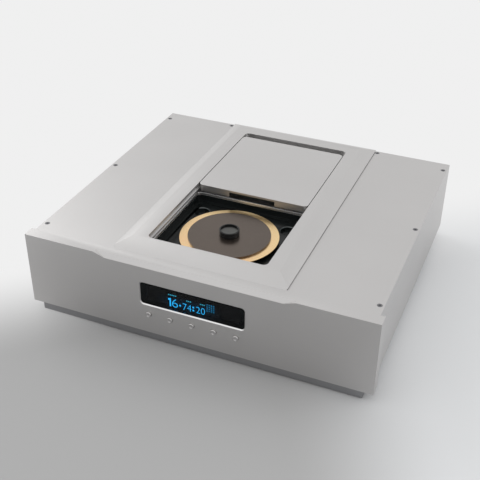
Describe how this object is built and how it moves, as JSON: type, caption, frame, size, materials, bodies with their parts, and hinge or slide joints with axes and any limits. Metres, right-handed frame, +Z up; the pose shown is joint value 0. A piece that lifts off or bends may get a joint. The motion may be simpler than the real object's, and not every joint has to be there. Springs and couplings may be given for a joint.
{
  "type": "disc transport",
  "caption": "Flat silver top-loading disc transport: a lid slides back from a disc well with a clamped disc; display window and round push buttons on the front.",
  "frame": {"origin": "on the floor under the middle of the whole object's box", "axes": "+Z up, -Y towards the front panel, +X to the right seen from the front"},
  "size_m": [0.43, 0.3866, 0.1163],
  "materials": {
    "case_panel": "satin anodised",
    "plinth": "satin anodised",
    "rubber_black": "matte",
    "frame_metal": "milled",
    "screw_steel": "dark",
    "slide_plastic": "smooth",
    "rail_steel": "bright drawn",
    "bay_metal": "black anodised",
    "rim_metal": "bright turned",
    "well_plastic": "satin",
    "disc_gold": "mirror under clear plastic",
    "clamp_dark": "semi-gloss lacquered",
    "knob_gloss": "polished",
    "insert_metal": "polished",
    "hub_plastic": "moulded",
    "motor_can": "zinc plated",
    "sled_plastic": "moulded",
    "lens_glass": "coated",
    "gear_plastic": "moulded",
    "pinion_brass": "cut",
    "window_black": "polished, dark tinted",
    "display_grey": "sealed display tube",
    "board_green": "soldermask",
    "button_metal": "turned, bright",
    "winding": "lacquered winding over a steel core",
    "capacitor_sleeve": "sleeved",
    "ribbon_plastic": "flat cable",
    "socket_black": "moulded",
    "contact_metal": "plated",
    "coax_gold": "gold plated",
    "socket_metal": "black plated"
  },
  "bodies": {
    "case_body": {"front_panel": "case_panel", "rear_panel": "case_panel", "left_side_panel": "case_panel", "right_side_panel": "case_panel", "top_cover": "case_panel", "lid_surround": "case_panel", "base_plate": "plinth", "foot_pads": "rubber_black", "lid_bumpers": "rubber_black", "deck_dampers": "rubber_black", "corner_posts": "frame_metal", "deck_posts": "frame_metal", "board_standoffs": "frame_metal", "cover_screws": "screw_steel", "surround_screws": "screw_steel", "post_screws": "screw_steel", "deck_screws": "screw_steel", "transformer_bolt": "screw_steel", "left_lid_rail": "rail_steel", "right_lid_rail": "rail_steel", "guide_rods": "rail_steel", "gear_pin": "rail_steel", "bay_floor": "bay_metal", "well_rim": "rim_metal", "disc_well": "well_plastic", "spindle_motor": "motor_can", "sled_motor": "motor_can", "mechanism_deck": "motor_can", "display_window": "window_black", "display_glass": "display_grey", "display_board": "board_green", "button_board": "board_green", "power_board_assembly": "board_green", "main_board_assembly": "board_green", "power_transformer": "winding", "capacitors": "capacitor_sleeve", "display_ribbon": "ribbon_plastic", "mains_inlet": "socket_black", "socket_pins": "contact_metal", "coax_socket": "coax_gold", "balanced_socket": "socket_metal"},
    "lid_body": {"lid": "case_panel", "lid_slide_pads": "slide_plastic"},
    "button_far_left_body": {"button_far_left": "button_metal"},
    "button_left_body": {"button_left": "button_metal"},
    "button_centre_body": {"button_centre": "button_metal"},
    "button_right_body": {"button_right": "button_metal"},
    "button_far_right_body": {"button_far_right": "button_metal"},
    "rocker_body": {"power_rocker": "socket_black"},
    "turntable_body": {"turntable_hub": "hub_plastic", "spindle_shaft": "rail_steel"},
    "disc_body": {"disc": "disc_gold"},
    "clamp_body": {"clamp_plate": "clamp_dark", "clamp_knob": "knob_gloss", "knob_insert": "insert_metal"},
    "sled_body": {"pickup_sled": "sled_plastic", "pickup_lens": "lens_glass"},
    "gear_body": {"drive_gear": "gear_plastic"},
    "pinion_body": {"motor_pinion": "pinion_brass"}
  },
  "joints": [
    {"name": "lid_slide", "type": "slide", "parent": "case_body", "child": "lid_body", "axis": [0, 1, 0], "range_m": [-0.1365, 0.0105]},
    {"name": "button_far_left_press", "type": "slide", "parent": "case_body", "child": "button_far_left_body", "axis": [0, 1, 0], "range_m": [0, 0.0012], "stiffness_N_per_m": 1500},
    {"name": "button_left_press", "type": "slide", "parent": "case_body", "child": "button_left_body", "axis": [0, 1, 0], "range_m": [0, 0.0012], "stiffness_N_per_m": 1500},
    {"name": "button_centre_press", "type": "slide", "parent": "case_body", "child": "button_centre_body", "axis": [0, 1, 0], "range_m": [0, 0.0012], "stiffness_N_per_m": 1500},
    {"name": "button_right_press", "type": "slide", "parent": "case_body", "child": "button_right_body", "axis": [0, 1, 0], "range_m": [0, 0.0012], "stiffness_N_per_m": 1500},
    {"name": "button_far_right_press", "type": "slide", "parent": "case_body", "child": "button_far_right_body", "axis": [0, 1, 0], "range_m": [0, 0.0012], "stiffness_N_per_m": 1500},
    {"name": "power_rocker_tilt", "type": "hinge", "parent": "case_body", "child": "rocker_body", "pos_m": [-0.121, 0.18025, 0.046], "axis": [1, 0, 0], "range_deg": [-16, 0]},
    {"name": "spindle_spin", "type": "hinge", "parent": "case_body", "child": "turntable_body", "pos_m": [0, -0.08325, 0.08], "axis": [0, 0, 1], "continuous": true},
    {"name": "disc_lift", "type": "slide", "parent": "turntable_body", "child": "disc_body", "axis": [0, 0, 1], "range_m": [0, 0.06]},
    {"name": "clamp_lift", "type": "slide", "parent": "disc_body", "child": "clamp_body", "axis": [0, 0, 1], "range_m": [0, 0.05]},
    {"name": "gear_spin", "type": "hinge", "parent": "case_body", "child": "gear_body", "pos_m": [0.0342, -0.04125, 0.08], "axis": [0, 0, 1], "range_deg": [-337, 10]},
    {"name": "sled_slide", "type": "slide", "parent": "case_body", "child": "sled_body", "axis": [0, 1, 0], "range_m": [-0.001, 0.033]},
    {"name": "pinion_spin", "type": "hinge", "parent": "case_body", "child": "pinion_body", "pos_m": [0.0446, -0.05926, 0.08], "axis": [0, 0, 1], "range_deg": [-40, 1130]}
  ],
  "couplings": [
    {"joint": "sled_slide", "follows": "gear_spin", "m_per_rad": -0.0056},
    {"joint": "pinion_spin", "follows": "gear_spin", "ratio": -3.3333}
  ]
}
